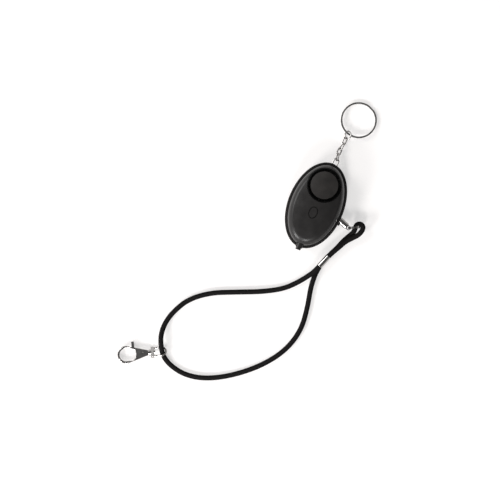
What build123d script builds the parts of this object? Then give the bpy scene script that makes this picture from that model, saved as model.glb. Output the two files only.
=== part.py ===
from build123d import *
import math
import os

# Personal safety alarm: an oval pull-pin siren with a wrist strap and a key chain.
# Millimetres. +Y runs along the body towards the key chain, +X to the pull pin, +Z up
# from the flat back face, which rests on the table and holds the origin.

# Case
case_half_length = 31.0
case_half_width = 19.4
case_height = 21.0
case_wall = 1.6
base_round = 5.5
back_face_cut = 0.05
parting_height = 8.2
ledge_width = 2.0
ledge_thickness = 1.0
dome_shoulder = 6.5
dome_crown = 150.0
locating_lip = 0.5
fit_gap = 0.05
slide_gap = 0.1
press_gap = 0.02
overrun = 2.0

# Screws that hold the shells together
screw_radius = 0.85
screw_length = 9.0
screw_head_radius = 1.6
screw_head_height = 1.2
screw_sunk = 2.0
boss_wall = 0.75
lower_screw_gap = 3.3
lower_screw_inset = 11.2
upper_screw_below = 9.3
upper_screw_inset = 5.6

# Siren
siren_inset = 16.2
well_radius = 12.0
well_wall = 0.7
well_depth = 6.4
well_floor = 0.8
well_sunk = 0.25
skirt_wall = 1.2
sound_slot = 2.5
cap_thickness = 1.3
cap_sunk = 0.1
cap_leg_radius = 0.8
cap_leg_inset = 2.1
sound_hole_radius = 0.7
sound_hole_count = 16
siren_throat_radius = 3.0
gasket_height = 1.2
gasket_width = 2.6
piezo_inset = 1.2
piezo_thickness = 0.3
ceramic_inset = 3.8
clip_ring_height = 1.2
clip_ring_width = 2.2
lead_radius = 0.4
lead_spread = 2.4
lead_clearance = 0.3
lead_start_gap = 1.35
lead_bend = 0.6

# Light button and its switch
button_gap = 7.05
button_length = 7.4
button_width = 5.2
button_groove = 0.5
button_proud = 0.35
button_travel = 0.6
button_flange = 0.9
button_flange_height = 0.8
switch_side = 6.0
switch_height = 2.1
plunger_radius = 1.5
plunger_sunk = 0.8

# Circuit board
board_depth = 6.8
board_thickness = 1.0
board_edge_gap = 1.0
board_horn_reach = 1.45
board_post_radius = 1.2
board_post_below = 5.0
chip_length = 5.0
chip_width = 3.9
chip_height = 1.5
chip_inset = 10.1
chip_below = 5.0
resistor_length = 1.6
resistor_width = 0.8
resistor_height = 0.5
resistor_pitch = 2.2
resistor_inset = 11.0
resistor_below = 9.0
coil_radius = 3.7
coil_core_radius = 2.0
coil_height = 8.0
coil_rim = 1.0
coil_inset = 10.8
coil_above = 3.2

# Button cells and their holder
cell_headroom = 0.5
cell_thickness = 5.4
cell_count = 3
cell_edge = 0.4
cell_below = 8.4
cell_start_x = -8.6
tray_floor = 0.5
tray_wall = 0.6
tray_height = 6.2
tray_end_wall = 0.9
contact_strip = 0.3
contact_width = 5.0
spring_wire_radius = 0.25
spring_radius = 2.4
spring_length = 2.4
spring_turns = 3

# Torch at the lower end
torch_rise = 3.5
snout_radius = 2.45
snout_tip_radius = 1.85
snout_sunk = 3.8
snout_shoulder_proud = 0.4
snout_proud = 2.0
lamp_radius = 1.45
lamp_rim_radius = 1.9
lamp_rim_height = 1.0
lamp_sunk = 1.2
lamp_lead_side = 0.5
lamp_lead_spread = 1.27
lamp_lead_reach = 1.6
torch_channel_width = 5.2
torch_channel_depth = 0.8
torch_channel_rise = 4.5

# Pull pin and its socket, along an axis that leans towards the lower end
pin_exit_inset = 0.15
pin_above_button = 2.4
pin_drop = 2.6
pin_lean = 20.0
barrel_radius = 2.2
barrel_length = 6.3
barrel_groove_at = 3.4
barrel_groove_width = 0.4
barrel_groove_depth = 0.25
lug_radius = 1.55
lug_thickness = 2.4
lug_reach = 7.9
lug_hole_radius = 1.1
shank_radius = 1.25
shank_length = 8.0
insulator_length = 0.8
tip_length = 2.8
tip_waist_radius = 0.8
core_radius = 0.5
socket_width = 6.0
socket_height = 4.0
socket_start = 2.6
socket_length = 10.2
nozzle_radius = 1.95
cradle_radius = 2.6
cradle_length = 1.9
cradle_shift = 1.1
cradle_drop = 0.8
leaf_thickness = 0.25
leaf_width = 1.4
leaf_length = 5.4
leaf_window_width = 2.0

# Small split ring on the pull pin
pin_ring_radius = 3.85
pin_ring_wire = 0.9
pin_ring_turn_height = 0.78
pin_ring_turn_gap = 0.04
pin_ring_heading = 27.0

# Key chain
chain_x = 0.8
chain_drop = 2.6
chain_wire_radius = 0.5
link_length = 6.4
link_width = 3.8
link_play = 0.12
body_link_width = 4.4
body_link_reach = 4.2
post_inset = 3.7
post_radius = 0.75
post_top_drop = 0.6
post_boss_radius = 1.6
post_play = 0.12
slot_width = 6.6
slot_height = 1.7
post_boss_gap = 0.35
jump_ring_radius = 2.95
jump_ring_wire_radius = 0.45
key_ring_radius = 11.9
key_ring_wire = 1.1
key_ring_turn_height = 0.82
key_ring_turn_gap = 0.05
ring_ramp = 20.0
key_ring_inside_share = 0.4

# The way each length of the chain lies: heading, slope and roll in degrees
body_link_turns = (86, 0, 0)
link_turns = [(101, -26, 65), (88, -22, -30), (83, -6, 55), (89, 0, -38)]
jump_ring_turns = (72, 26, 40)
jump_ring_opening = 5.0
key_ring_heading = 77.0
key_ring_slope = -5.2

# Wrist strap: one braided cord, crimped in a ferrule
cord_radius = 1.5
ferrule_x = 19.8
ferrule_y = -33.5
ferrule_heading = -109.7
ferrule_length = 9.4
ferrule_wall = 0.4
ferrule_clearance = 0.1
ferrule_lift = 0.05
strand_pitch = 3.2
cord_end_gap = 0.15
fold_heading = 88.0
fold_turn = 68.0
fold_reach = 3.2
fold_back = 0.55

# Swivel clasp
clasp_x = -65.4
clasp_y = -136.7
clasp_height = 3.0
clasp_heading = -152.0
clasp_droop = 1.6
bow_tilt = 36.0
bow_wire_radius = 0.7
bow_half_width = 3.4
bow_side_length = 6.1
bar_length = 8.4
bar_side = 2.0
neck_radius = 0.6
neck_collar_radius = 2.1
neck_collar_length = 1.3
rivet_radius = 1.7
rivet_height = 0.9
hook_thickness = 3.0
hook_round = 0.5
hook_root_radius = 2.1
hook_root_x = 4.2
hook_loop_radius = 6.1
hook_loop_x = 18.1
hook_hole_radius = 4.4
hook_hole_start_x = 15.7
gate_pivot_x = 6.6
gate_pivot_y = -0.6
gate_pin_radius = 0.5
gate_tongue = 1.4
gate_gap = 0.15
gate_root_x = 12.0
gate_reach = 9.9
gate_arm = 1.5
gate_slot_start_x = 4.8
thumb_tab_x = 12.95
thumb_tab_width = 1.8
thumb_tab_height = 2.6
gate_swing = 14.0

low = (Align.CENTER, Align.CENTER, Align.MIN)

# Places that follow the case
siren_y = case_half_length - siren_inset
skirt_inner = well_radius + fit_gap
skirt_outer = skirt_inner + skirt_wall
skirt_low_y = siren_y - skirt_outer
button_y = skirt_low_y - button_gap
board_end_y = skirt_low_y + board_horn_reach
lead_start_y = skirt_low_y - lead_start_gap
cap_radius = well_radius - sound_slot
cap_leg_circle = cap_radius - cap_leg_inset
piezo_radius = well_radius - piezo_inset
ceramic_radius = piezo_radius - ceramic_inset
well_floor_height = case_height - well_depth
board_height = case_height - board_depth
board_top = board_height + board_thickness
cell_y = button_y - cell_below
cell_radius = (board_height - cell_headroom - case_wall - tray_floor) / 2
cell_end_x = cell_start_x + cell_count * cell_thickness
plate_x = cell_end_x + spring_length
tray_high_x = plate_x + contact_strip + tray_end_wall
lower_screw_x = case_half_width - lower_screw_inset
lower_screw_y = cell_y - cell_radius - lower_screw_gap
upper_screw_x = case_half_width - upper_screw_inset
upper_screw_y = siren_y - upper_screw_below
board_post_x = tray_high_x + board_post_radius + slide_gap
board_post_y = button_y - board_post_below
chip_x = chip_inset - case_half_width
chip_y = button_y - chip_below
resistor_x = case_half_width - resistor_inset
resistor_y = button_y - resistor_below
coil_x = coil_inset - case_half_width
coil_y = button_y + coil_above
torch_height = parting_height + torch_rise
torch_channel_height = torch_height + torch_channel_rise
snout_inner_y = snout_sunk - case_half_length
snout_shoulder_y = -case_half_length - snout_shoulder_proud
snout_tip_y = -case_half_length - snout_proud
pin_exit_x = case_half_width - pin_exit_inset
pin_exit_y = button_y + pin_above_button
pin_height = parting_height - pin_drop
chain_height = parting_height - chain_drop
post_y = case_half_length - post_inset
post_top = parting_height - post_top_drop
body_link_far_y = case_half_length + body_link_reach
dome_foot = parting_height + ledge_thickness


# Helpers

def rod(radius, start, end, x=0, y=0):
    return Pos(x, y, start) * Cylinder(radius, end - start, align=low)


def tube(outer, inner, start, end, x=0, y=0):
    return rod(outer, start, end, x, y) - rod(inner, start - overrun, end + overrun, x, y)


def block(x_from, x_to, y_from, y_to, z_from, z_to):
    size = (x_to - x_from, y_to - y_from, z_to - z_from)
    middle = ((x_from + x_to) / 2, (y_from + y_to) / 2, (z_from + z_to) / 2)
    return Pos(*middle) * Box(*size)


def oval_slab(half_length, half_width, start, end, y=0):
    sketch = Pos(0, y, start) * Ellipse(half_width, half_length)
    return extrude(sketch, end - start)


def turned_oval(half_length, half_width, edges):
    whole = revolve(make_face(edges), Axis.Z, 360)
    return scale(whole, by=(half_width / half_length, 1, 1))


def shoulder_limit():
    # The largest shoulder that leaves an upright wall as high as the ledge is thick.
    half_length = case_half_length - ledge_width
    rise = dome_foot + ledge_thickness - case_height + dome_crown
    return (dome_crown ** 2 - half_length ** 2 - rise ** 2) / (2 * (dome_crown - half_length))


def dome(inset, start):
    # The front shell's crowned oval, moved inwards by an inset and cut level at its foot.
    half_length = case_half_length - ledge_width - inset
    half_width = case_half_width - ledge_width - inset
    shoulder = min(dome_shoulder, shoulder_limit()) - inset
    crown = dome_crown - inset
    top = case_height - inset
    lean = math.asin((half_length - shoulder) / (crown - shoulder))
    reach = (crown - shoulder) * math.sin(lean)
    knee_height = top - crown + (crown - shoulder) * math.cos(lean)
    halfway = (lean + math.pi / 2) / 2
    peak = (0, 0, top)
    on_crown = (crown * math.sin(lean / 2), 0, top - crown + crown * math.cos(lean / 2))
    knee = (crown * math.sin(lean), 0, top - crown + crown * math.cos(lean))
    on_shoulder = (reach + shoulder * math.sin(halfway), 0, knee_height + shoulder * math.cos(halfway))
    wall_top = (half_length, 0, knee_height)
    edges = [
        ThreePointArc(peak, on_crown, knee),
        ThreePointArc(knee, on_shoulder, wall_top),
        Polyline(wall_top, (half_length, 0, start), (0, 0, start), peak),
    ]
    return turned_oval(half_length, half_width, edges)


def dome_top(x, y, inset=0):
    # Height of that oval above a point well inside its shoulder.
    half_length = case_half_length - ledge_width - inset
    half_width = case_half_width - ledge_width - inset
    crown = dome_crown - inset
    reach = math.hypot(x * half_length / half_width, y)
    return case_height - inset - crown + math.sqrt(crown ** 2 - reach ** 2)


def base(inset, end):
    # The back shell's rounded oval pan, moved inwards by an inset, with its foot cut flat.
    half_length = case_half_length - inset
    half_width = case_half_width - inset
    foot = inset - back_face_cut
    bend = min(base_round, parting_height - locating_lip - fit_gap) - inset
    diagonal = bend * math.sqrt(0.5)
    corner = (half_length - bend + diagonal, 0, foot + bend - diagonal)
    edges = [
        Polyline((half_length, 0, foot + bend), (half_length, 0, end), (0, 0, end), (0, 0, foot),
                 (half_length - bend, 0, foot)),
        ThreePointArc((half_length - bend, 0, foot), corner, (half_length, 0, foot + bend)),
    ]
    pan = turned_oval(half_length, half_width, edges)
    return pan - oval_slab(half_length, half_width, foot - overrun, inset)


def heading(angle, slope=0):
    turn = math.radians(angle)
    climb = math.radians(slope)
    return Vector(math.cos(turn) * math.cos(climb), math.sin(turn) * math.cos(climb), math.sin(climb))


def round_link(length, width, wire_radius):
    # A racetrack of round wire in the local XY plane, long side on X.
    bend = width / 2 - wire_radius
    straight = length / 2 - width / 2
    pieces = []
    for side in (1, -1):
        wire = Plane.YZ * Pos(side * bend, 0, -straight) * Circle(wire_radius)
        pieces.append(extrude(wire, 2 * straight))
        start = Plane.YZ * Pos(-bend, 0, 0) * Circle(wire_radius)
        half_turn = revolve(start, Axis.Z, 180 * side)
        pieces.append(Pos(side * straight, 0, 0) * half_turn)
    link = pieces[0]
    for piece in pieces[1:]:
        link = link + piece
    return link


def ring_section(radius, wire, turn_height, level, angle):
    turn = math.radians(angle)
    corners = [(radius + side * wire / 2, level + end * turn_height / 2)
               for side, end in ((1, 1), (-1, 1), (-1, -1), (1, -1))]
    points = [(reach * math.cos(turn), reach * math.sin(turn), height) for reach, height in corners]
    return make_face(Polyline(*points, close=True))


def split_ring(radius, wire, turn_height, turn_gap):
    # Two stacked turns of one flat wire, joined by a short ramp, about the local Z axis.
    level = (turn_height + turn_gap) / 2
    lower = revolve(ring_section(radius, wire, turn_height, -level, 0), Axis.Z, 360 - ring_ramp)
    upper = revolve(ring_section(radius, wire, turn_height, level, 0), Axis.Z, 360 - ring_ramp)
    ramp = loft([ring_section(radius, wire, turn_height, level, 0),
                 ring_section(radius, wire, turn_height, -level, -ring_ramp)], ruled=True)
    return lower + upper + ramp


def biggest(shape):
    return max(shape.solids(), key=lambda solid: solid.volume)


nodes = {}


# Case shells

front_boss_radius = screw_radius + 1.5 * boss_wall
back_boss_radius = screw_head_radius + slide_gap + boss_wall
screw_places = [(side * x, y) for x, y in ((lower_screw_x, lower_screw_y), (upper_screw_x, upper_screw_y))
                for side in (1, -1)]
gasket_bottom = well_floor_height - gasket_height
plate_bottom = gasket_bottom - piezo_thickness
skirt_bottom = plate_bottom - clip_ring_height
pan_inner_length = case_half_length - case_wall
pan_inner_width = case_half_width - case_wall

pin_out = heading(-pin_lean)
pin_side = heading(90 - pin_lean)
pin_plane = Plane(origin=(pin_exit_x, pin_exit_y, pin_height), x_dir=pin_side, z_dir=pin_out)


def make_front_shell():
    skin = dome(0, dome_foot)
    hollow = dome(case_wall, dome_foot)
    rim = oval_slab(case_half_length, case_half_width, parting_height, dome_foot)
    rim = fillet(rim.edges().group_by(Axis.Z)[-1], ledge_thickness / 3)
    rim -= oval_slab(case_half_length - ledge_width - case_wall, case_half_width - ledge_width - case_wall,
                     parting_height - overrun, dome_foot + overrun)
    lip_length = pan_inner_length - fit_gap
    lip_width = pan_inner_width - fit_gap
    lip = oval_slab(lip_length, lip_width, parting_height - locating_lip, parting_height)
    lip -= oval_slab(lip_length - case_wall / 2, lip_width - case_wall / 2,
                     parting_height - overrun, parting_height + overrun)
    fittings = rod(skirt_outer, skirt_bottom, case_height, y=siren_y)
    for x, y in screw_places:
        fittings += rod(front_boss_radius, dome_foot, case_height, x, y)
    keeper = rod(post_boss_radius, post_top + fit_gap, skirt_bottom + well_floor, chain_x, post_y)
    inside = dome(case_wall / 2, dome_foot)
    shell = skin - hollow + rim + lip + (fittings & inside) + keeper
    for x, y in screw_places:
        shell += rod(front_boss_radius, parting_height, dome_foot + fit_gap, x, y)
        shell -= rod(back_boss_radius + slide_gap, parting_height - overrun, parting_height, x, y)
        shell -= rod(screw_radius + press_gap, parting_height - overrun,
                     screw_sunk + screw_head_height + screw_length + slide_gap, x, y)
    shell -= rod(skirt_inner, skirt_bottom - overrun, case_height + overrun, y=siren_y)
    groove_length = button_length / 2 + button_groove
    groove_width = button_width / 2 + button_groove
    shell -= oval_slab(groove_length, groove_width, dome_foot, case_height + overrun, button_y)
    snout_path = Plane(origin=(0, snout_tip_y, torch_height), x_dir=(1, 0, 0), z_dir=(0, 1, 0))
    shell -= snout_path * rod(snout_radius + fit_gap, 0, snout_inner_y - snout_tip_y + overrun)
    channel_end = -(case_half_length - ledge_width) + torch_channel_depth
    channel = block(-torch_channel_width / 2, torch_channel_width / 2, -case_half_length, channel_end,
                    dome_foot, torch_channel_height)
    return biggest(shell - channel)


def make_back_shell():
    pan = base(0, parting_height)
    hollow = base(case_wall, parting_height + overrun)
    fittings = Part()
    for x, y in screw_places:
        fittings += rod(back_boss_radius, case_wall / 2, parting_height, x, y)
    for x, y in board_posts:
        fittings += rod(board_post_radius, case_wall / 2, parting_height, x, y)
    fittings += rod(post_boss_radius, case_wall / 2, post_boss_top, chain_x, post_y)
    cradle = pin_plane * rod(cradle_radius, -case_wall, cradle_length, -cradle_shift, -cradle_drop)
    cradle -= base(case_wall / 2, parting_height)
    pan = pan - hollow + (fittings & base(case_wall / 2, parting_height)) + cradle
    for x, y in board_posts:
        pan += rod(board_post_radius, parting_height - case_wall, board_height, x, y)
    for x, y in screw_places:
        pan -= rod(screw_head_radius + slide_gap, -overrun, screw_sunk + screw_head_height, x, y)
        pan -= rod(screw_radius + slide_gap, -overrun, parting_height + overrun, x, y)
    pan -= rod(post_radius + press_gap, case_wall, post_boss_top + overrun, chain_x, post_y)
    pan -= block(chain_x - slot_width / 2, chain_x + slot_width / 2, pan_inner_length - overrun,
                 case_half_length + overrun, chain_height - slot_height / 2, chain_height + slot_height / 2)
    pan -= pin_plane * rod(nozzle_radius + fit_gap, -socket_start - overrun, slide_gap)
    pan -= pin_plane * rod(barrel_radius + slide_gap, 0, barrel_length)
    pan -= pin_plane * block(-socket_width / 2 - fit_gap, socket_width / 2 + fit_gap,
                             -socket_height / 2 - fit_gap, socket_height / 2 + fit_gap,
                             -socket_start - socket_length, -socket_start + fit_gap)
    return biggest(pan)


post_boss_top = chain_height - chain_wire_radius - post_boss_gap
board_posts = [(board_post_x, board_post_y), (-board_post_x, board_post_y), (0, button_y + plunger_radius)]
nodes["front_shell"] = make_front_shell()
nodes["back_shell"] = make_back_shell()


# Siren under the dome

def make_speaker_well():
    wall = tube(well_radius, well_radius - well_wall, well_floor_height, case_height, y=siren_y)
    floor = rod(well_radius, well_floor_height, well_floor_height + well_floor, y=siren_y)
    floor -= rod(siren_throat_radius, well_floor_height - overrun, case_height, y=siren_y)
    hole_circle = (well_radius - well_wall + cap_radius) / 2
    for place in PolarLocations(hole_circle, sound_hole_count):
        hole = rod(sound_hole_radius, well_floor_height - overrun, case_height)
        floor -= Pos(0, siren_y, 0) * place * hole
    return (wall + floor) & dome(well_sunk, dome_foot)


def make_speaker_cap():
    plug = rod(cap_radius, well_floor_height, case_height, y=siren_y)
    cap = (dome(cap_sunk, dome_foot) - dome(cap_sunk + cap_thickness, dome_foot)) & plug
    legs = Part()
    for place in PolarLocations(cap_leg_circle, 4, start_angle=45):
        legs += Pos(0, siren_y, 0) * place * rod(cap_leg_radius, well_floor_height + well_floor, case_height)
    return cap + (legs & dome(cap_sunk + cap_thickness / 2, dome_foot))


nodes["speaker_well"] = make_speaker_well()
nodes["speaker_cap"] = make_speaker_cap()
nodes["piezo_gasket"] = tube(well_radius, well_radius - gasket_width, gasket_bottom, well_floor_height,
                             y=siren_y)
nodes["piezo_plate"] = rod(piezo_radius, plate_bottom, gasket_bottom, y=siren_y)
nodes["piezo_ceramic"] = rod(ceramic_radius, plate_bottom - piezo_thickness, plate_bottom, y=siren_y)
nodes["piezo_clip_ring"] = tube(well_radius, well_radius - clip_ring_width, skirt_bottom, plate_bottom,
                                y=siren_y)


def make_piezo_leads():
    # One lead ends on the ceramic and the other on the brass plate beside it.
    travel_height = skirt_bottom - lead_radius - lead_clearance
    plate_ring = (ceramic_radius + well_radius - clip_ring_width) / 2
    ends = [(-lead_spread, ceramic_radius / 2, plate_bottom - piezo_thickness),
            (lead_spread, plate_ring, plate_bottom)]
    leads = []
    for x, reach, top in ends:
        points = [(x, lead_start_y, board_height), (x, lead_start_y, travel_height),
                  (x, siren_y - reach, travel_height), (x, siren_y - reach, top)]
        path = FilletPolyline(*points, radius=lead_bend)
        leads.append(sweep(Pos(*points[0]) * Circle(lead_radius), path=path))
    return Compound(children=leads)


nodes["piezo_leads"] = make_piezo_leads()


# Light button over its switch

flange_top = dome_top(0, button_y - button_length / 2 - button_flange, case_wall) - fit_gap
flange_bottom = flange_top - button_flange_height


def make_led_button():
    key = oval_slab(button_length / 2, button_width / 2, flange_bottom, case_height + overrun, button_y)
    key &= dome(-button_proud, flange_bottom)
    flange = oval_slab(button_length / 2 + button_flange, button_width / 2 + button_flange,
                       flange_bottom, flange_top, button_y)
    return key + flange


switch_top = board_top + switch_height
nodes["led_button"] = make_led_button()
nodes["switch_plunger"] = rod(plunger_radius, switch_top - plunger_sunk, flange_bottom, y=button_y)
nodes["switch_body"] = block(-switch_side / 2, switch_side / 2, button_y - switch_side / 2,
                             button_y + switch_side / 2, board_top, switch_top)
nodes["switch_body"] -= rod(plunger_radius + fit_gap, switch_top - plunger_sunk - button_travel - slide_gap,
                            switch_top + overrun, y=button_y)


# Circuit board and what is soldered to it

def make_circuit_board():
    edge = case_wall + board_edge_gap
    board = oval_slab(case_half_length - ledge_width - edge, case_half_width - ledge_width - edge,
                      board_height, board_top)
    board -= rod(skirt_outer + board_edge_gap, board_height - overrun, board_top + overrun, y=siren_y)
    board -= block(-case_half_width, case_half_width, board_end_y, case_half_length,
                   board_height - overrun, board_top + overrun)
    for x, y in screw_places:
        board -= rod(front_boss_radius + board_edge_gap, board_height - overrun, board_top + overrun, x, y)
    return biggest(board & dome(case_wall + fit_gap, dome_foot))


def make_driver_chip():
    body = block(chip_x - chip_width / 2, chip_x + chip_width / 2, chip_y - chip_length / 2,
                 chip_y + chip_length / 2, board_top, board_top + chip_height)
    body = chamfer(body.edges().group_by(Axis.Z)[-1], chip_height / 6)
    foot = resistor_height / 2
    for side in (-1, 1):
        for step in (-1.5, -0.5, 0.5, 1.5):
            y = chip_y + step * chip_length / 4
            x = chip_x + side * (chip_width / 2 + foot)
            body += block(x - foot - fit_gap, x + foot, y - foot / 2, y + foot / 2,
                          board_top, board_top + foot)
    return body


def make_board_parts():
    parts = []
    for row in range(3):
        for column in range(2):
            x = resistor_x + (column - 0.5) * resistor_pitch
            y = resistor_y + row * resistor_pitch
            parts.append(block(x - resistor_width / 2, x + resistor_width / 2, y - resistor_length / 2,
                               y + resistor_length / 2, board_top, board_top + resistor_height))
    return Compound(children=parts)


nodes["circuit_board"] = make_circuit_board()
nodes["driver_chip"] = make_driver_chip()
nodes["board_parts"] = make_board_parts()
coil_bottom = board_height - coil_height
coil_core = rod(coil_core_radius, coil_bottom, board_height, coil_x, coil_y)
for start in (coil_bottom, board_height - coil_rim):
    coil_core += rod(coil_radius, start, start + coil_rim, coil_x, coil_y)
nodes["boost_coil_core"] = coil_core
nodes["boost_coil_winding"] = tube(coil_radius - coil_rim / 4, coil_core_radius, coil_bottom + coil_rim,
                                   board_height - coil_rim, coil_x, coil_y)


# Button cells in their tray

cell_height = case_wall + tray_floor + cell_radius
along_x = Rot(0, 90, 0)
cells = []
for number in range(cell_count):
    cell = Cylinder(cell_radius, cell_thickness)
    cell = fillet(cell.edges().filter_by(GeomType.CIRCLE), cell_edge)
    cells.append(Pos(cell_start_x + (number + 0.5) * cell_thickness, cell_y, cell_height) * along_x * cell)
nodes["button_cells"] = Compound(children=cells)
tray_side = cell_radius + fit_gap + tray_wall
tray_low_x = cell_start_x - contact_strip - tray_end_wall
tray = block(tray_low_x, tray_high_x, cell_y - tray_side, cell_y + tray_side, case_wall,
             case_wall + tray_height)
tray &= base(case_wall + fit_gap, case_height)
tray -= block(cell_start_x - contact_strip, plate_x + contact_strip, cell_y - cell_radius - fit_gap,
              cell_y + cell_radius + fit_gap, case_wall + tray_floor, case_height)
for x, y in screw_places:
    tray -= rod(back_boss_radius + fit_gap, 0, case_height, x, y)
nodes["battery_tray"] = biggest(tray)
for name, x in (("battery_contact", cell_start_x - contact_strip), ("spring_plate", plate_x)):
    nodes[name] = block(x, x + contact_strip, cell_y - contact_width / 2, cell_y + contact_width / 2,
                        case_wall + tray_floor, board_height)
spring_pitch = (spring_length - 2 * spring_wire_radius) / spring_turns
spring_line = Helix(spring_pitch, spring_length - 2 * spring_wire_radius, spring_radius,
                    center=(cell_end_x + spring_wire_radius, cell_y, cell_height), direction=(1, 0, 0))
spring_start = Plane(origin=spring_line @ 0, z_dir=spring_line % 0) * Circle(spring_wire_radius)
nodes["battery_spring"] = sweep(spring_start, path=spring_line, is_frenet=True)


# Torch lamp in its snout

torch_plane = Plane(origin=(0, snout_tip_y, torch_height), x_dir=(1, 0, 0), z_dir=(0, 1, 0))
snout_length = snout_inner_y - snout_tip_y
snout = rod(snout_tip_radius, 0, snout_length)
snout += rod(snout_radius, snout_shoulder_y - snout_tip_y, snout_length)
snout -= rod(lamp_radius + fit_gap, -overrun, snout_length + overrun)
nodes["led_snout"] = torch_plane * snout
lamp = rod(lamp_radius, lamp_sunk + lamp_radius, snout_length)
lamp += Pos(0, 0, lamp_sunk + lamp_radius) * Sphere(lamp_radius)
lamp += rod(lamp_rim_radius, snout_length, snout_length + lamp_rim_height)
nodes["led_lamp"] = torch_plane * lamp
lead_y = snout_inner_y + lamp_rim_height
half_lead = lamp_lead_side / 2
lamp_leads = []
for x in (-lamp_lead_spread, lamp_lead_spread):
    lead = block(x - half_lead, x + half_lead, lead_y, lead_y + lamp_lead_reach,
                 torch_height - half_lead, torch_height + half_lead)
    lead += block(x - half_lead, x + half_lead, lead_y + lamp_lead_reach - lamp_lead_side,
                  lead_y + lamp_lead_reach, torch_height - half_lead, board_height)
    lamp_leads.append(lead)
nodes["led_leads"] = Compound(children=lamp_leads)


# Pull pin, its socket and the contacts that it holds apart

socket_end = -socket_start - socket_length
shank_end = -shank_length
insulator_end = shank_end - insulator_length
tip_end = insulator_end - tip_length
window_start = -socket_start - barrel_radius
window_end = window_start - leaf_length - fit_gap
leaf_near = shank_radius + slide_gap
leaf_far = leaf_near + leaf_thickness
board_reach = board_height - pin_height


def make_pull_pin():
    pin = rod(barrel_radius, slide_gap, barrel_length)
    pin = fillet(pin.edges().group_by(Axis.Z)[-1], barrel_groove_depth)
    pin -= tube(barrel_radius + overrun, barrel_radius - barrel_groove_depth, barrel_groove_at,
                barrel_groove_at + barrel_groove_width)
    pin += rod(shank_radius, shank_end, slide_gap)
    pin -= rod(core_radius + press_gap, shank_end - overrun, shank_end + overrun)
    pin += block(-lug_radius, lug_radius, -lug_thickness / 2, lug_thickness / 2,
                 barrel_length - slide_gap, lug_reach)
    across = Pos(0, 0, lug_reach) * Rot(90, 0, 0)
    pin += across * Cylinder(lug_radius, lug_thickness)
    pin -= across * Cylinder(lug_hole_radius, lug_thickness + overrun)
    return pin_plane * pin


def make_pin_tip():
    waist = insulator_end - tip_length / 3
    tip = rod(core_radius, insulator_end - slide_gap, shank_end + overrun - slide_gap)
    tip += Pos(0, 0, waist) * Cone(tip_waist_radius, shank_radius, insulator_end - waist, align=low)
    nose = waist - (waist - tip_end) / 2
    tip += Pos(0, 0, nose) * Cone(shank_radius, tip_waist_radius, waist - nose, align=low)
    tip += Pos(0, 0, tip_end) * Cone(tip_waist_radius / 2, shank_radius, nose - tip_end, align=low)
    return pin_plane * tip


def make_pin_socket():
    body = block(-socket_width / 2, socket_width / 2, -socket_height / 2, socket_height / 2,
                 socket_end, -socket_start)
    body += rod(nozzle_radius, -socket_start - fit_gap, -fit_gap)
    body -= rod(leaf_near, tip_end - slide_gap, overrun)
    half_window = leaf_window_width / 2
    body -= block(-half_window, half_window, 0, socket_height, window_end, window_start)
    body -= block(-half_window, half_window, -socket_height, 0, window_end, window_start)
    body -= block(-half_window, half_window, -leaf_far - fit_gap, -leaf_near + fit_gap,
                  socket_end - overrun, window_start)
    return pin_plane * body


def make_contact(side):
    half_width = leaf_width / 2
    tail = window_end if side > 0 else socket_end - leaf_thickness
    leaf = block(-half_width, half_width, min(side * leaf_near, side * leaf_far),
                 max(side * leaf_near, side * leaf_far), tail, window_start - slide_gap)
    leaf += block(-half_width, half_width, side * leaf_far if side < 0 else leaf_near, board_reach,
                  tail, tail + leaf_thickness)
    return pin_plane * leaf


nodes["pull_pin"] = make_pull_pin()
nodes["pin_insulator"] = pin_plane * tube(shank_radius, core_radius + press_gap, insulator_end, shank_end)
nodes["pin_tip"] = make_pin_tip()
nodes["pin_socket"] = make_pin_socket()
nodes["upper_contact"] = make_contact(1)
nodes["lower_contact"] = make_contact(-1)

eye = Vector(pin_exit_x, pin_exit_y, pin_height) + pin_out * lug_reach
ring_way = heading(pin_ring_heading)
ring_middle = eye + ring_way * pin_ring_radius
ring_end = eye + ring_way * (2 * pin_ring_radius)
ring_plane = Plane(origin=ring_middle, x_dir=Vector(0, 0, 1), z_dir=heading(pin_ring_heading - 90))
nodes["pin_ring"] = ring_plane * split_ring(pin_ring_radius, pin_ring_wire, pin_ring_turn_height,
                                            pin_ring_turn_gap)


# Key chain from the post in the case to the key ring

nodes["chain_post"] = rod(post_radius, case_wall, post_top, chain_x, post_y)


def link_frame(heading_angle, slope, roll):
    along = heading(heading_angle, slope)
    level = heading(heading_angle - 90)
    above = level.cross(along)
    turn = math.radians(roll)
    across = level * math.cos(turn) + above * math.sin(turn)
    return along, across


def place_link(solid, middle, along, across):
    return Plane(origin=middle, x_dir=along, z_dir=along.cross(across)) * solid


along, across = link_frame(*body_link_turns)
near_reach = post_radius + post_play + chain_wire_radius
far_point = Vector(chain_x, post_y, chain_height) + along * (body_link_far_y - post_y)
near_point = Vector(chain_x, post_y, chain_height) - along * near_reach
body_link_length = (far_point - near_point).length + 2 * chain_wire_radius
nodes["body_link"] = place_link(round_link(body_link_length, body_link_width, chain_wire_radius),
                                (far_point + near_point) * 0.5, along, across)

hook_step = 2 * chain_wire_radius + link_play
chain_joints = [("body_link", Vector(chain_x, post_y, chain_height), Vector(0, 0, 1))]
for number, turns in enumerate(link_turns, 1):
    joint_point, joint_axis = far_point, across
    along, across = link_frame(*turns)
    near_point = joint_point - along * hook_step
    far_point = near_point + along * (link_length - 2 * chain_wire_radius)
    name = f"chain_link_{number}"
    nodes[name] = place_link(round_link(link_length, link_width, chain_wire_radius),
                             (near_point + far_point) * 0.5, along, across)
    chain_joints.append((name, joint_point, joint_axis))

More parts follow.
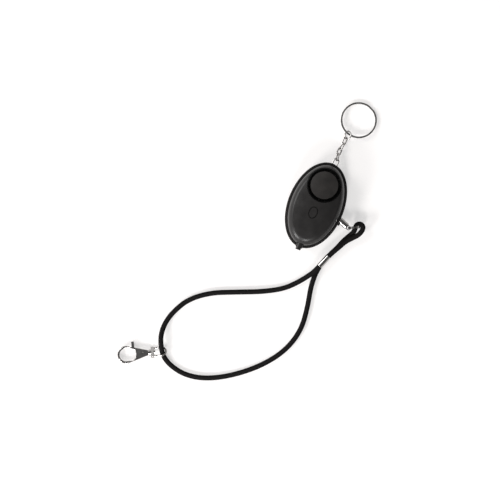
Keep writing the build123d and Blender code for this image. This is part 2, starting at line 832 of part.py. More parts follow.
chain_joints.append(("jump_ring", far_point, across))
along, across = link_frame(*jump_ring_turns)
near_point = far_point - along * (chain_wire_radius + jump_ring_wire_radius + link_play)
jump_middle = near_point + along * jump_ring_radius
jump_wire = Plane.XZ * Pos(-jump_ring_radius, 0, 0) * Circle(jump_ring_wire_radius)
jump_ring = Rot(0, 0, 90 + jump_ring_opening) * revolve(jump_wire, Axis.Z, 360 - jump_ring_opening)
nodes["jump_ring"] = place_link(jump_ring, jump_middle, along, across)

key_near = jump_middle + along * (jump_ring_radius * key_ring_inside_share)
key_along = heading(key_ring_heading, key_ring_slope)
key_side = heading(key_ring_heading - 90)
key_middle = key_near + key_along * key_ring_radius
key_ring = split_ring(key_ring_radius, key_ring_wire, key_ring_turn_height, key_ring_turn_gap)
nodes["key_ring"] = Plane(origin=key_middle, x_dir=key_along, z_dir=key_side.cross(key_along)) * key_ring
chain_joints.append(("key_ring", key_near, key_side))
for name, point, axis in chain_joints:
    print("joint", name, [round(value, 4) for value in (*point, *axis)])


# Screws from the back

screws = []
for x, y in screw_places:
    screw = rod(screw_head_radius, screw_sunk, screw_sunk + screw_head_height, x, y)
    slot = block(-screw_head_radius, screw_head_radius, -screw_radius / 4, screw_radius / 4,
                 screw_sunk - overrun, screw_sunk + screw_head_height / 2)
    screw -= Pos(x, y, 0) * slot + Pos(x, y, 0) * Rot(0, 0, 90) * slot
    shank_start = screw_sunk + screw_head_height
    screw += rod(screw_radius, shank_start, shank_start + screw_length, x, y)
    screws.append(screw)
nodes["case_screws"] = Compound(children=screws)


# Wrist strap: from the ferrule round the small ring, back through the ferrule and round the wrist

strand_low = ferrule_lift + ferrule_wall + ferrule_clearance / 2 + cord_radius
strand_high = strand_low + strand_pitch
ferrule_way = heading(ferrule_heading)


def in_ferrule(along, height):
    return (ferrule_x + ferrule_way.X * along, ferrule_y + ferrule_way.Y * along, height)


def round_ring_end(turn, distance, height):
    # A point of the fold round the far wire of the small ring, at an angle from the fold's tip.
    centre = ring_end - heading(fold_heading) * fold_back
    way = heading(fold_heading + turn)
    return (centre.X + way.X * distance, centre.Y + way.Y * distance, height)


fold_corner = fold_reach / math.cos(math.radians(fold_turn / 2))
mouth = ferrule_length / 2 + cord_radius
strap_points = [
    in_ferrule(-cord_end_gap, strand_low),
    in_ferrule(-mouth, strand_low),
    (24.8, -21.6, 1.75),
    (26.9, -15.2, 1.65),
    (29.6, -10.2, 2.6),
    (30.9, -6.4, 4.6),
    round_ring_end(fold_turn, fold_corner, 5.2),
    round_ring_end(0, fold_corner, 5.7),
    round_ring_end(-fold_turn, fold_corner, 6.2),
    (35.7, -6.7, 6.1),
    (32.4, -10.4, 5.4),
    (28.5, -14.9, 4.95),
    (25.2, -21.5, 4.95),
    in_ferrule(-mouth, strand_high),
    in_ferrule(mouth, strand_high),
    (15.7, -44.1, 3.9),
    (9.6, -52.9, 1.8),
    (1.6, -61.5, 1.5),
    (-11.4, -69.1, 1.5),
    (-28.0, -76.3, 1.5),
    (-43.9, -83.3, 1.5),
    (-56.4, -93.4, 1.5),
    (-62.4, -104.5, 1.5),
    (-64.7, -112.5, 1.6),
    (-65.1, -119.2, 2.6),
    (-63.9, -125.6, 4.9),
    (-60.8, -131.6, 4.9),
    (-57.4, -136.5, 1.6),
    (-49.9, -140.7, 1.5),
    (-37.6, -142.6, 1.5),
    (-23.0, -139.0, 1.5),
    (-7.0, -129.4, 1.5),
    (8.3, -115.7, 1.5),
    (19.0, -100.3, 1.5),
    (23.6, -83.4, 1.5),
    (21.5, -66.6, 1.5),
    (18.1, -52.7, 1.5),
    in_ferrule(mouth, strand_low),
    in_ferrule(cord_end_gap, strand_low),
]


def corner_radii(points):
    corners = [Vector(*point) for point in points]
    radii = []
    for before, here, after in zip(corners, corners[1:], corners[2:]):
        arriving, leaving = here - before, after - here
        half_turn = math.radians(arriving.get_angle(leaving)) / 2
        radii.append(0.45 * min(arriving.length, leaving.length) / math.tan(half_turn))
    return radii


def make_strap_cord():
    radii = corner_radii(strap_points)
    path = FilletPolyline(*strap_points, radius=radii)
    cord = sweep(Plane(origin=path @ 0, z_dir=path % 0) * Circle(cord_radius), path=path)
    section = math.pi * cord_radius ** 2
    print("strap radii", [round(radius, 1) for radius in radii])
    print("strap length", round(path.length, 1), "volume over section times length",
          round(cord.volume / (section * path.length), 4))
    return cord


def make_ferrule():
    half_width = cord_radius + ferrule_clearance / 2
    half_height = half_width + strand_pitch / 2
    bore = extrude(SlotOverall(2 * half_height, 2 * half_width), ferrule_length + overrun, both=True)
    sleeve = extrude(SlotOverall(2 * (half_height + ferrule_wall), 2 * (half_width + ferrule_wall)),
                     ferrule_length / 2, both=True)
    rims = sleeve.edges().group_by(Axis.Z)[0] + sleeve.edges().group_by(Axis.Z)[-1]
    sleeve = fillet(rims, ferrule_wall / 3)
    middle = (ferrule_x, ferrule_y, strand_low + strand_pitch / 2)
    return Plane(origin=middle, x_dir=(0, 0, 1), z_dir=ferrule_way) * (sleeve - bore)


nodes["strap_cord"] = make_strap_cord()
nodes["ferrule"] = make_ferrule()


# Swivel clasp: a bow on the strap, a hook that turns in it and a sprung gate

clasp_plane = Plane(origin=(clasp_x, clasp_y, clasp_height), x_dir=heading(clasp_heading, -clasp_droop),
                    z_dir=heading(clasp_heading, 90 - clasp_droop))
lying_along = Rot(0, 90, 0)


def make_clasp_bow():
    sides = Part()
    for side in (-1, 1):
        wire = Plane.YZ * Pos(side * bow_half_width, 0, -bow_side_length) * Circle(bow_wire_radius)
        sides += extrude(wire, bow_side_length)
    bend = revolve(Plane.YZ * Pos(-bow_half_width, 0, -bow_side_length) * Circle(bow_wire_radius),
                   Axis((-bow_side_length, 0, 0), (0, 0, 1)), -180)
    bar = Box(bar_side, bar_length, bar_side)
    bar = fillet(bar.edges(), bar_side / 8)
    bow = sides + bend + bar
    bow -= lying_along * rod(neck_radius + fit_gap, -bar_side, bar_side)
    return clasp_plane * Rot(bow_tilt, 0, 0) * bow


def hook_outline():
    root = Pos(hook_root_x, 0) * Circle(hook_root_radius)
    loop = Pos(hook_loop_x, 0) * Circle(hook_loop_radius)
    return make_hull(root.edges() + loop.edges())


def hook_hole():
    return make_hull((Pos(hook_hole_start_x, 0) * Circle(hook_hole_radius)).edges()
                     + (Pos(hook_loop_x + hook_loop_radius - hook_hole_radius - gate_arm, 0)
                        * Circle(hook_hole_radius)).edges())


def hook_blank():
    half = hook_thickness / 2
    blank = Pos(0, 0, -half) * extrude(hook_outline(), hook_thickness)
    blank -= Pos(0, 0, -hook_thickness) * extrude(hook_hole(), 2 * hook_thickness)
    levels = blank.edges().group_by(Axis.Z)
    return fillet(levels[0] + levels[-1], hook_round)


def gate_zone(gap):
    # The part of the outline that the gate takes, on the side away from the hook's back.
    side = block(gate_root_x - gap, case_half_width, -case_half_width, -gate_arm,
                 -hook_thickness, hook_thickness)
    return side & rod(gate_reach + gap, -hook_thickness, hook_thickness, gate_pivot_x, gate_pivot_y)


def make_clasp_hook():
    hook = hook_blank() - gate_zone(gate_gap)
    swing_height = (gate_root_x - gate_pivot_x) * math.tan(math.radians(gate_swing))
    hook -= block(gate_slot_start_x, gate_root_x + overrun, -hook_loop_radius, swing_height + gate_gap,
                  -gate_tongue / 2 - gate_gap, gate_tongue / 2 + gate_gap)
    hook -= rod(gate_pin_radius + press_gap, -hook_thickness, hook_thickness, gate_pivot_x, gate_pivot_y)
    collar_start = bar_side / 2 + slide_gap
    collar = lying_along * rod(neck_collar_radius, collar_start, collar_start + neck_collar_length)
    neck = lying_along * rod(neck_radius, -bar_side / 2 - slide_gap, collar_start + fit_gap)
    return clasp_plane * (biggest(hook) + collar + neck)


def make_clasp_lever():
    half = hook_thickness / 2
    shape = hook_blank()
    arm = shape & gate_zone(0)
    tongue = block(gate_pivot_x - gate_pin_radius * 2.4, gate_root_x + fit_gap, -hook_loop_radius,
                   gate_pivot_y + gate_pin_radius * 1.8, -gate_tongue / 2, gate_tongue / 2)
    tongue &= shape
    tab = block(thumb_tab_x - thumb_tab_width / 2, thumb_tab_x + thumb_tab_width / 2,
                -hook_loop_radius - thumb_tab_height, -gate_arm * 2.6, -half, half)
    tab = fillet(tab.edges().filter_by(Axis.Z), thumb_tab_width / 4)
    lever = biggest(arm) + tongue + tab
    lever -= rod(gate_pin_radius + fit_gap, -hook_thickness, hook_thickness, gate_pivot_x, gate_pivot_y)
    return clasp_plane * biggest(lever)


nodes["clasp_bow"] = make_clasp_bow()
nodes["clasp_hook"] = make_clasp_hook()
rivet_start = -bar_side / 2 - slide_gap
nodes["clasp_rivet"] = clasp_plane * lying_along * rod(rivet_radius, rivet_start - rivet_height, rivet_start)
nodes["clasp_lever"] = make_clasp_lever()
nodes["lever_pin"] = clasp_plane * rod(gate_pin_radius, -hook_thickness / 2, hook_thickness / 2,
                                       gate_pivot_x, gate_pivot_y)


os.makedirs("parts", exist_ok=True)
for name, shape in nodes.items():
    export_step(shape if isinstance(shape, Compound) else Part(shape.wrapped), f"parts/{name}.step")
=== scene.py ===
import bpy
import math
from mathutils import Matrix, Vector


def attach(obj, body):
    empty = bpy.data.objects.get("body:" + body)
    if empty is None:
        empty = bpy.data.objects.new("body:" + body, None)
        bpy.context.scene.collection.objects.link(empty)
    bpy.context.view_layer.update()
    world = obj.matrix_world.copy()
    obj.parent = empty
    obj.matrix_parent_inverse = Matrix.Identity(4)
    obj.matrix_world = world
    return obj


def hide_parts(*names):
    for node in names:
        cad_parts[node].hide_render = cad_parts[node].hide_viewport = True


mmPerMetre = 1000

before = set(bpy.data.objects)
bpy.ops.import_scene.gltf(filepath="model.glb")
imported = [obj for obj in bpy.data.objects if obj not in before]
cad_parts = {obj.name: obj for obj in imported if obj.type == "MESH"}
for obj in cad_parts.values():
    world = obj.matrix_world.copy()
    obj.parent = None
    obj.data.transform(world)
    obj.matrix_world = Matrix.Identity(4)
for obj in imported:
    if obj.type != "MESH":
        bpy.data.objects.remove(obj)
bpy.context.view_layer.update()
print("frame loaded:", len(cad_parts), "pieces")


# Camera: straight above the table, turned so that the key chain points up and to the right
cameraSet = {
    "aimX": -0.0302, "aimY": -0.0458, "height": 4.0, "roll": 22.5,
    "fieldWidth": 0.345, "sensor": 36.0, "clipStart": 0.01,
}
cameraTurn = math.radians(cameraSet["roll"])
imageRight = Vector((math.cos(cameraTurn), math.sin(cameraTurn), 0))
imageUp = Vector((-imageRight.y, imageRight.x, 0))


def placeCamera():
    cameraData = bpy.data.cameras.new("photoCamera")
    cameraData.sensor_width = cameraSet["sensor"]
    cameraData.lens = cameraSet["sensor"] * cameraSet["height"] / cameraSet["fieldWidth"]
    cameraData.clip_start = cameraSet["clipStart"]
    cameraObject = bpy.data.objects.new("photoCamera", cameraData)
    cameraObject.location = (cameraSet["aimX"], cameraSet["aimY"], cameraSet["height"])
    cameraObject.rotation_euler = (0, 0, cameraTurn)
    bpy.context.scene.collection.objects.link(cameraObject)
    bpy.context.scene.camera = cameraObject


placeCamera()
print("camera placed")


# Wrist strap: one cord along the modelled tube's route, in millimetres and degrees.
# Its two ends butt inside the ferrule, and its fold goes round the pin's small ring.
strapSet = {
    "radius": 1.5, "ferruleCentre": (19.8, -33.5), "ferruleHeading": -109.7, "ferruleLength": 9.4,
    "strandLow": 2.0, "strandPitch": 3.2, "endGap": 0.15,
    "ringEnd": (33.531, -2.306), "foldHeading": 88.0, "foldTurn": 68.0, "foldReach": 2.6,
    "foldBack": 0.55, "foldHeights": (5.2, 5.7, 6.2),
    "splineOrder": 3, "splineSteps": 24,
}
# The braid stands a little proud of the tube where the cord lies loose
braidSet = {
    "radius": 1.78, "relief": 0.13, "lowCrown": 0.35, "strandsEachWay": 8, "lay": 1.25,
    "ringStep": 0.25, "sides": 40,
}


def ferrulePoint(along, height):
    turn = math.radians(strapSet["ferruleHeading"])
    x, y = strapSet["ferruleCentre"]
    return (x + along * math.cos(turn), y + along * math.sin(turn), height)


def foldPoint(turn, height):
    # The fold's corners lie far enough out for the smooth line to touch a circle of foldReach
    tip = math.radians(strapSet["foldHeading"])
    way = math.radians(strapSet["foldHeading"] + turn)
    reach = strapSet["foldReach"] / math.cos(math.radians(strapSet["foldTurn"] / 2))
    x = strapSet["ringEnd"][0] - strapSet["foldBack"] * math.cos(tip)
    y = strapSet["ringEnd"][1] - strapSet["foldBack"] * math.sin(tip)
    return (x + reach * math.cos(way), y + reach * math.sin(way), height)


def strapRoute():
    low = strapSet["strandLow"]
    high = low + strapSet["strandPitch"]
    mouth = strapSet["ferruleLength"] / 2 + strapSet["radius"]
    foldTurn = strapSet["foldTurn"]
    foldIn, foldTop, foldOut = strapSet["foldHeights"]
    return [
        ferrulePoint(-strapSet["endGap"], low),
        ferrulePoint(-mouth, low),
        (24.8, -21.6, 1.75),
        (26.9, -15.2, 1.65),
        (29.6, -10.2, 2.6),
        (31.4, -6.6, 4.6),
        foldPoint(foldTurn, foldIn),
        foldPoint(0, foldTop),
        foldPoint(-foldTurn, foldOut),
        (35.3, -7.2, 6.1),
        (32.2, -10.8, 5.4),
        (28.5, -14.9, 4.95),
        (25.2, -21.5, 4.95),
        ferrulePoint(-mouth, high),
        ferrulePoint(mouth, high),
        (15.7, -44.1, 3.9),
        (9.6, -52.9, 1.8),
        (1.6, -61.5, 1.5),
        (-11.4, -69.1, 1.5),
        (-28.0, -76.3, 1.5),
        (-43.9, -83.3, 1.5),
        (-56.4, -93.4, 1.5),
        (-62.4, -104.5, 1.5),
        (-64.7, -112.5, 1.6),
        (-65.1, -119.2, 2.6),
        (-63.9, -125.6, 5.2),
        (-60.9, -131.4, 5.4),
        (-57.4, -136.5, 1.6),
        (-49.9, -140.7, 1.5),
        (-37.6, -142.6, 1.5),
        (-23.0, -139.0, 1.5),
        (-7.0, -129.4, 1.5),
        (8.3, -115.7, 1.5),
        (19.0, -100.3, 1.5),
        (23.6, -83.4, 1.5),
        (21.5, -66.6, 1.5),
        (18.1, -52.7, 1.5),
        ferrulePoint(mouth, low),
        ferrulePoint(strapSet["endGap"], low),
    ]


def splineLine(route):
    # The smooth line of a NURBS spline through the route, as a list of points in metres
    curveData = bpy.data.curves.new("strapRoute", "CURVE")
    curveData.dimensions = "3D"
    curveData.resolution_u = strapSet["splineSteps"]
    spline = curveData.splines.new("NURBS")
    spline.points.add(len(route) - 1)
    for point, (x, y, z) in zip(spline.points, route):
        point.co = (x / mmPerMetre, y / mmPerMetre, z / mmPerMetre, 1)
    spline.order_u = strapSet["splineOrder"]
    spline.use_endpoint_u = True
    curveObject = bpy.data.objects.new("strapRoute", curveData)
    bpy.context.scene.collection.objects.link(curveObject)
    bpy.context.view_layer.update()
    lineMesh = bpy.data.meshes.new_from_object(curveObject)
    line = [vertex.co.copy() for vertex in lineMesh.vertices]
    bpy.data.objects.remove(curveObject)
    return line


def evenly(line, step):
    # Points one even step apart along the line, and the line's length
    lengths = [0.0]
    for before, after in zip(line, line[1:]):
        lengths.append(lengths[-1] + (after - before).length)
    count = max(2, round(lengths[-1] / step))
    places = []
    index = 0
    for number in range(count + 1):
        goal = lengths[-1] * number / count
        while index < len(lengths) - 2 and lengths[index + 1] < goal:
            index += 1
        stretch = lengths[index + 1] - lengths[index]
        share = (goal - lengths[index]) / stretch if stretch else 0
        places.append(line[index].lerp(line[index + 1], min(max(share, 0), 1)))
    return places, lengths[-1]


def turnFrames(places):
    # Side vectors that follow the line without twisting about it
    ways = []
    for number in range(len(places)):
        before = places[max(number - 1, 0)]
        after = places[min(number + 1, len(places) - 1)]
        ways.append((after - before).normalized())
    side = ways[0].orthogonal().normalized()
    sides = [side]
    for before, way in zip(ways, ways[1:]):
        side = before.rotation_difference(way) @ side
        side = (side - way * side.dot(way)).normalized()
        sides.append(side)
    return ways, sides


def strandHeight(across, along):
    # One strand: round across its width, and rising where it passes over its neighbours
    offCentre = 2 * (across - math.floor(across)) - 1
    over = (1 + math.cos(math.pi * along)) / 2
    low = braidSet["lowCrown"]
    return math.sqrt(max(0.0, 1 - offCentre * offCentre)) * (low + (1 - low) * over)


def braidHeight(around, along):
    # 0 in the gaps and 1 on the crowns of a plain braid of right and left strands
    right = braidSet["strandsEachWay"] * around + along
    left = braidSet["strandsEachWay"] * around - along
    return max(strandHeight(right, math.floor(right) + left - 1 / 2),
               strandHeight(left, math.floor(left) + right + 1 / 2))


def braidVertices(places, step):
    ways, sides = turnFrames(places)
    count = braidSet["sides"]
    vertices = []
    for number, (place, way, side) in enumerate(zip(places, ways, sides)):
        third = way.cross(side)
        for corner in range(count):
            angle = 2 * math.pi * corner / count
            height = braidHeight(corner / count, number * step)
            reach = (braidSet["radius"] - braidSet["relief"] * (1 - height)) / mmPerMetre
            vertices.append(tuple(place + (side * math.cos(angle) + third * math.sin(angle)) * reach))
    return vertices


def braidFaces(ringCount):
    count = braidSet["sides"]
    faces = []
    for number in range(ringCount - 1):
        ring = number * count
        nextRing = ring + count
        for corner in range(count):
            following = (corner + 1) % count
            faces.append((ring + corner, ring + following, nextRing + following, nextRing + corner))
    faces.append(tuple(reversed(range(count))))
    faces.append(tuple(range((ringCount - 1) * count, ringCount * count)))
    return faces


def unwrapBraid(mesh, step):
    # One unit of the map is one strand round the cord, and one lay along it
    count = braidSet["sides"]
    uvLayer = mesh.uv_layers.new(name="braid")
    for face in mesh.polygons:
        isSide = len(face.vertices) != count
        for loopIndex in face.loop_indices:
            ring, corner = divmod(mesh.loops[loopIndex].vertex_index, count)
            closesRound = isSide and corner == 0 and ring * count + count - 1 in face.vertices
            around = 1.0 if closesRound else corner / count
            uvLayer.data[loopIndex].uv = (around * braidSet["strandsEachWay"], ring * step)


def makeStrap():
    places, length = evenly(splineLine(strapRoute()), braidSet["ringStep"] / mmPerMetre)
    step = length / (len(places) - 1) / (braidSet["lay"] / mmPerMetre)
    mesh = bpy.data.meshes.new("wristCord")
    mesh.from_pydata(braidVertices(places, step), [], braidFaces(len(places)))
    unwrapBraid(mesh, step)
    mesh.shade_smooth()
    cord = bpy.data.objects.new("wristCord", mesh)
    bpy.context.scene.collection.objects.link(cord)
    return cord, places, length


wristCord, strapLine, strapLength = makeStrap()
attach(wristCord, "wrist_strap")
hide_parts("strap_cord")
print("wrist strap made, length in mm:", round(strapLength * mmPerMetre, 1))


# Materials: how fine each kind of noise is, and how strongly it raises a surface
textureSet = {
    "grain": {"detail": 2.0, "roughness": 0.5, "bump": 1.0},
    "cloud": {"detail": 4.0, "roughness": 0.6},
    "smudge": {"detail": 4.0, "roughness": 0.65},
    "scratch": {"detail": 2.0, "roughness": 0.5, "bump": 0.6},
    "fuzz": {"detail": 3.0, "roughness": 0.7, "bump": 0.6},
    "haze": {"detail": 3.0, "roughness": 0.55},
    "yarn": {"detail": 2.0, "distortion": 1.5, "bump": 0.7},
}
# Noise values lie mostly between these two, so a look is spread over them
noiseSpread = (0.3, 0.7)


def startMaterial(name):
    material = bpy.data.materials.new(name)
    material.use_nodes = True
    nodes = material.node_tree.nodes
    return material, nodes, material.node_tree.links, nodes["Principled BSDF"]


def noiseNode(nodes, links, place, kind, scale):
    noise = nodes.new("ShaderNodeTexNoise")
    noise.inputs["Scale"].default_value = scale
    noise.inputs["Detail"].default_value = textureSet[kind]["detail"]
    noise.inputs["Roughness"].default_value = textureSet[kind]["roughness"]
    links.new(place, noise.inputs["Vector"])
    return noise.outputs["Fac"]


def rangeNode(nodes, links, source, low, high, spread=noiseSpread, ease="LINEAR"):
    mapRange = nodes.new("ShaderNodeMapRange")
    mapRange.interpolation_type = ease
    mapRange.inputs["From Min"].default_value = spread[0]
    mapRange.inputs["From Max"].default_value = spread[1]
    mapRange.inputs["To Min"].default_value = low
    mapRange.inputs["To Max"].default_value = high
    links.new(source, mapRange.inputs["Value"])
    return mapRange.outputs["Result"]


def mixedColour(nodes, links, noise, look):
    mix = nodes.new("ShaderNodeMix")
    mix.data_type = "RGBA"
    mix.inputs["A"].default_value = (*look["dark"], 1)
    mix.inputs["B"].default_value = (*look["light"], 1)
    links.new(rangeNode(nodes, links, noise, 0, 1), mix.inputs["Factor"])
    return mix.outputs["Result"]


def bumpNode(nodes, links, height, kind, depth, under=None):
    bump = nodes.new("ShaderNodeBump")
    bump.inputs["Strength"].default_value = textureSet[kind]["bump"]
    bump.inputs["Distance"].default_value = depth
    links.new(height, bump.inputs["Height"])
    if under is not None:
        links.new(under, bump.inputs["Normal"])
    return bump.outputs["Normal"]


def mathNode(nodes, links, operation, first, second):
    node = nodes.new("ShaderNodeMath")
    node.operation = operation
    links.new(first, node.inputs[0])
    links.new(second, node.inputs[1])
    return node.outputs[0]


def valueNode(nodes, value):
    node = nodes.new("ShaderNodeValue")
    node.outputs[0].default_value = value
    return node.outputs[0]


def plasticMaterial(name, look):
    material, nodes, links, shader = startMaterial(name)
    place = nodes.new("ShaderNodeTexCoord").outputs["Object"]
    grain = noiseNode(nodes, links, place, "grain", look["grainScale"])
    cloud = noiseNode(nodes, links, place, "cloud", look["cloudScale"])
    links.new(mixedColour(nodes, links, cloud, look), shader.inputs["Base Color"])
    links.new(rangeNode(nodes, links, cloud, *look["rough"]), shader.inputs["Roughness"])
    links.new(bumpNode(nodes, links, grain, "grain", look["grainDepth"]), shader.inputs["Normal"])
    shader.inputs["IOR"].default_value = look["ior"]
    return material


def metalMaterial(name, look):
    material, nodes, links, shader = startMaterial(name)
    place = nodes.new("ShaderNodeTexCoord").outputs["Object"]
    smudge = noiseNode(nodes, links, place, "smudge", look["smudgeScale"])
    scratch = noiseNode(nodes, links, place, "scratch", look["scratchScale"])
    links.new(mixedColour(nodes, links, smudge, look), shader.inputs["Base Color"])
    links.new(rangeNode(nodes, links, smudge, *look["rough"]), shader.inputs["Roughness"])
    links.new(bumpNode(nodes, links, scratch, "scratch", look["scratchDepth"]), shader.inputs["Normal"])
    shader.inputs["Metallic"].default_value = 1.0
    shader.inputs["Specular Tint"].default_value = (*look["edge"], 1)
    return material


def lampMaterial(name, look):
    material, nodes, links, shader = startMaterial(name)
    place = nodes.new("ShaderNodeTexCoord").outputs["Object"]
    haze = noiseNode(nodes, links, place, "haze", look["hazeScale"])
    links.new(rangeNode(nodes, links, haze, *look["rough"]), shader.inputs["Roughness"])
    shader.inputs["Base Color"].default_value = (*look["colour"], 1)
    shader.inputs["Transmission Weight"].default_value = look["clear"]
    shader.inputs["IOR"].default_value = look["ior"]
    return material


def cordMaterial(name, look):
    material, nodes, links, shader = startMaterial(name)
    place = nodes.new("ShaderNodeTexCoord")
    yarn = nodes.new("ShaderNodeTexWave")
    yarn.wave_type = "BANDS"
    yarn.bands_direction = "DIAGONAL"
    yarn.inputs["Scale"].default_value = look["yarnScale"]
    yarn.inputs["Distortion"].default_value = textureSet["yarn"]["distortion"]
    yarn.inputs["Detail"].default_value = textureSet["yarn"]["detail"]
    links.new(place.outputs["UV"], yarn.inputs["Vector"])
    fuzz = noiseNode(nodes, links, place.outputs["Object"], "fuzz", look["fuzzScale"])
    links.new(mixedColour(nodes, links, fuzz, look), shader.inputs["Base Color"])
    normal = bumpNode(nodes, links, yarn.outputs["Fac"], "yarn", look["yarnDepth"])
    normal = bumpNode(nodes, links, fuzz, "fuzz", look["fuzzDepth"], normal)
    links.new(normal, shader.inputs["Normal"])
    shader.inputs["Roughness"].default_value = look["rough"]
    shader.inputs["Specular IOR Level"].default_value = look["specular"]
    return material


# Each finish and the pieces that wear it; scales are in waves to a metre and depths in metres
plasticLooks = {
    "caseBlack": {
        "pieces": ["front_shell", "back_shell", "led_snout", "led_button"],
        "dark": (0.014, 0.0132, 0.013), "light": (0.020, 0.0188, 0.0184), "rough": (0.29, 0.37),
        "grainScale": 5200.0, "grainDepth": 0.00001, "cloudScale": 160.0, "ior": 1.34},
    # Speaker well: black plastic darkened far below the case's black as painted shade of the deep slot,
    # with weak reflection
    "wellBlackPaintedShade": {
        "pieces": ["speaker_well"],
        "dark": (0.0015, 0.0015, 0.0015), "light": (0.003, 0.003, 0.003), "rough": (0.30, 0.42),
        "grainScale": 900.0, "grainDepth": 0.000003, "cloudScale": 220.0, "ior": 1.25},
    "capGrey": {
        "pieces": ["speaker_cap"],
        "dark": (0.018, 0.0165, 0.016), "light": (0.025, 0.0225, 0.021), "rough": (0.34, 0.44),
        "grainScale": 6000.0, "grainDepth": 0.000012, "cloudScale": 140.0, "ior": 1.42},
    "ceramic": {
        "pieces": ["piezo_ceramic"],
        "dark": (0.70, 0.69, 0.64), "light": (0.82, 0.81, 0.77), "rough": (0.3, 0.45),
        "grainScale": 3000.0, "grainDepth": 0.000006, "cloudScale": 200.0, "ior": 1.5},
    "ferrite": {
        "pieces": ["boost_coil_core"],
        "dark": (0.05, 0.05, 0.055), "light": (0.085, 0.085, 0.09), "rough": (0.5, 0.65),
        "grainScale": 2600.0, "grainDepth": 0.00002, "cloudScale": 260.0, "ior": 1.5},
    "boardGreen": {
        "pieces": ["circuit_board"],
        "dark": (0.015, 0.11, 0.045), "light": (0.03, 0.17, 0.075), "rough": (0.3, 0.42),
        "grainScale": 1800.0, "grainDepth": 0.000015, "cloudScale": 420.0, "ior": 1.5},
    "chipBlack": {
        "pieces": ["switch_plunger", "switch_body", "driver_chip", "board_parts"],
        "dark": (0.03, 0.03, 0.032), "light": (0.045, 0.045, 0.048), "rough": (0.5, 0.62),
        "grainScale": 4200.0, "grainDepth": 0.00001, "cloudScale": 300.0, "ior": 1.5},
    "trayGrey": {
        "pieces": ["piezo_clip_ring", "battery_tray", "pin_socket"],
        "dark": (0.16, 0.16, 0.17), "light": (0.21, 0.21, 0.22), "rough": (0.42, 0.52),
        "grainScale": 3200.0, "grainDepth": 0.000012, "cloudScale": 200.0, "ior": 1.5},
    "insulatorTan": {
        "pieces": ["pin_insulator"],
        "dark": (0.60, 0.54, 0.43), "light": (0.72, 0.66, 0.55), "rough": (0.38, 0.5),
        "grainScale": 3000.0, "grainDepth": 0.000008, "cloudScale": 240.0, "ior": 1.5},
    "gasketRubber": {
        "pieces": ["piezo_gasket"],
        "dark": (0.02, 0.02, 0.02), "light": (0.032, 0.032, 0.032), "rough": (0.62, 0.75),
        "grainScale": 2600.0, "grainDepth": 0.00002, "cloudScale": 200.0, "ior": 1.5},
    "leadRed": {
        "pieces": ["piezo_leads"],
        "dark": (0.38, 0.02, 0.015), "light": (0.5, 0.04, 0.03), "rough": (0.36, 0.48),
        "grainScale": 2200.0, "grainDepth": 0.000006, "cloudScale": 220.0, "ior": 1.5},
}
metalLooks = {
    "chrome": {
        "pieces": ["pull_pin", "pin_ring", "body_link", "chain_link_1", "chain_link_2", "chain_link_3",
                   "chain_link_4", "jump_ring", "ferrule", "clasp_bow", "clasp_hook", "clasp_rivet",
                   "clasp_lever"],
        "dark": (0.40, 0.385, 0.375), "light": (0.60, 0.585, 0.575), "rough": (0.07, 0.18),
        "edge": (0.35, 0.34, 0.33), "smudgeScale": 240.0, "scratchScale": 2600.0,
        "scratchDepth": 0.000004},
    "ringSteel": {
        "pieces": ["key_ring"],
        "dark": (0.40, 0.39, 0.38), "light": (0.54, 0.53, 0.52), "rough": (0.22, 0.34),
        "edge": (0.45, 0.44, 0.43), "smudgeScale": 200.0, "scratchScale": 2200.0,
        "scratchDepth": 0.000006},
    "nickel": {
        "pieces": ["button_cells", "battery_contact", "spring_plate", "battery_spring", "led_leads",
                   "chain_post", "case_screws", "lever_pin"],
        "dark": (0.50, 0.49, 0.46), "light": (0.66, 0.65, 0.62), "rough": (0.2, 0.34),
        "edge": (0.35, 0.34, 0.33), "smudgeScale": 260.0, "scratchScale": 2400.0,
        "scratchDepth": 0.000006},
    "brass": {
        "pieces": ["piezo_plate", "pin_tip", "upper_contact", "lower_contact"],
        "dark": (0.60, 0.44, 0.20), "light": (0.78, 0.62, 0.33), "rough": (0.18, 0.32),
        "edge": (0.35, 0.34, 0.33), "smudgeScale": 260.0, "scratchScale": 2400.0,
        "scratchDepth": 0.000005},
    "copperWire": {
        "pieces": ["boost_coil_winding"],
        "dark": (0.55, 0.22, 0.10), "light": (0.74, 0.36, 0.19), "rough": (0.22, 0.36),
        "edge": (0.35, 0.34, 0.33), "smudgeScale": 300.0, "scratchScale": 3600.0,
        "scratchDepth": 0.00002},
}
lampLooks = {
    "lampClear": {
        "pieces": ["led_lamp"],
        "colour": (0.92, 0.94, 0.96), "rough": (0.04, 0.12), "hazeScale": 400.0, "clear": 0.85,
        "ior": 1.5},
}
cordLook = {
    "dark": (0.005, 0.0045, 0.0045), "light": (0.012, 0.0112, 0.0114), "rough": 0.85, "specular": 0.06,
    "yarnScale": 2.2, "yarnDepth": 0.00004, "fuzzScale": 4200.0, "fuzzDepth": 0.00003,
}


def dressPieces(makeMaterial, looks):
    for name, look in looks.items():
        material = makeMaterial(name, look)
        for piece in look["pieces"]:
            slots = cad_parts[piece].data.materials
            slots.clear()
            slots.append(material)


dressPieces(plasticMaterial, plasticLooks)
dressPieces(metalMaterial, metalLooks)
dressPieces(lampMaterial, lampLooks)
wristCord.data.materials.append(cordMaterial("cordBlack", cordLook))
print("materials set")


# Table: white to the camera and in reflections, with a soft grey shadow
floorSet = {"size": 12.0, "colour": (0.52, 0.497, 0.487), "glow": 0.53}


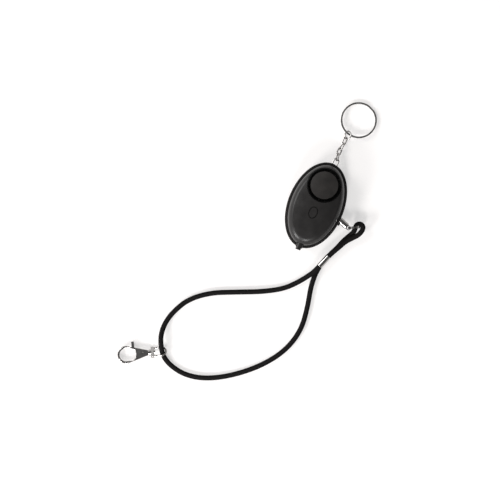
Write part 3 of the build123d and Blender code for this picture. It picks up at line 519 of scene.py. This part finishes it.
def makeFloor():
    reach = floorSet["size"] / 2
    mesh = bpy.data.meshes.new("tableTop")
    corners = [(-reach, -reach, 0), (reach, -reach, 0), (reach, reach, 0), (-reach, reach, 0)]
    mesh.from_pydata(corners, [], [(0, 1, 2, 3)])
    floor = bpy.data.objects.new("tableTop", mesh)
    bpy.context.scene.collection.objects.link(floor)
    material = bpy.data.materials.new("tableWhite")
    material.use_nodes = True
    nodes, links = material.node_tree.nodes, material.node_tree.links
    nodes.clear()
    output = nodes.new("ShaderNodeOutputMaterial")
    diffuse = nodes.new("ShaderNodeBsdfDiffuse")
    diffuse.inputs["Color"].default_value = (*floorSet["colour"], 1)
    ray = nodes.new("ShaderNodeLightPath").outputs
    seen = mathNode(nodes, links, "MAXIMUM", ray["Is Camera Ray"], ray["Is Glossy Ray"])
    seen = mathNode(nodes, links, "MAXIMUM", seen, ray["Is Transmission Ray"])
    strength = mathNode(nodes, links, "MULTIPLY", seen, valueNode(nodes, floorSet["glow"]))
    glow = nodes.new("ShaderNodeEmission")
    links.new(strength, glow.inputs["Strength"])
    both = nodes.new("ShaderNodeAddShader")
    links.new(diffuse.outputs[0], both.inputs[0])
    links.new(glow.outputs[0], both.inputs[1])
    links.new(both.outputs[0], output.inputs["Surface"])
    mesh.materials.append(material)


# Studio dome: pale round the sides, paler on the left, and dim straight overhead.
# Heights and sides are given as parts of a unit direction.
domeSet = {
    "horizonLight": 1.4, "horizonTop": 0.28, "zenithLight": 0.28, "zenithFoot": 0.84,
    "leftShare": 0.84, "rightShare": 0.17, "sideReach": 0.8,
}


def makeDome():
    world = bpy.data.worlds.new("studio")
    bpy.context.scene.world = world
    world.use_nodes = True
    nodes, links = world.node_tree.nodes, world.node_tree.links
    background = nodes["Background"]
    background.inputs["Strength"].default_value = 1.0
    way = nodes.new("ShaderNodeTexCoord").outputs["Generated"]
    axes = nodes.new("ShaderNodeSeparateXYZ")
    links.new(way, axes.inputs["Vector"])
    rise = rangeNode(nodes, links, axes.outputs["Z"], domeSet["horizonLight"], domeSet["zenithLight"],
                     (domeSet["horizonTop"], domeSet["zenithFoot"]), "SMOOTHSTEP")
    across = nodes.new("ShaderNodeVectorMath")
    across.operation = "DOT_PRODUCT"
    across.inputs[1].default_value = tuple(imageRight)
    links.new(way, across.inputs[0])
    share = rangeNode(nodes, links, across.outputs["Value"], domeSet["leftShare"],
                      domeSet["rightShare"], (-domeSet["sideReach"], domeSet["sideReach"]))
    links.new(mathNode(nodes, links, "MULTIPLY", rise, share), background.inputs["Color"])


# Soft square lights: places are image right, image up and height, in metres
lightSet = {
    "keyLight": {"place": (-0.95, 0.55, 0.90), "size": 0.7, "power": 9.5},
    "sideLight": {"place": (-0.72, -0.62, 0.5), "size": 0.3, "power": 8.0},
    "frontLight": {"place": (-0.10, -0.90, 0.70), "size": 0.25, "power": 6.0},
}


def makeLight(name, look):
    lightData = bpy.data.lights.new(name, "AREA")
    lightData.shape = "SQUARE"
    lightData.size = look["size"]
    lightData.energy = look["power"]
    light = bpy.data.objects.new(name, lightData)
    right, up, height = look["place"]
    light.location = imageRight * right + imageUp * up + Vector((0, 0, height))
    light.rotation_euler = (-light.location).to_track_quat("-Z", "Y").to_euler()
    bpy.context.scene.collection.objects.link(light)


makeFloor()
makeDome()
for lightName, lightLook in lightSet.items():
    makeLight(lightName, lightLook)
bpy.context.scene.view_settings.view_transform = "Standard"
print("table and lights set")
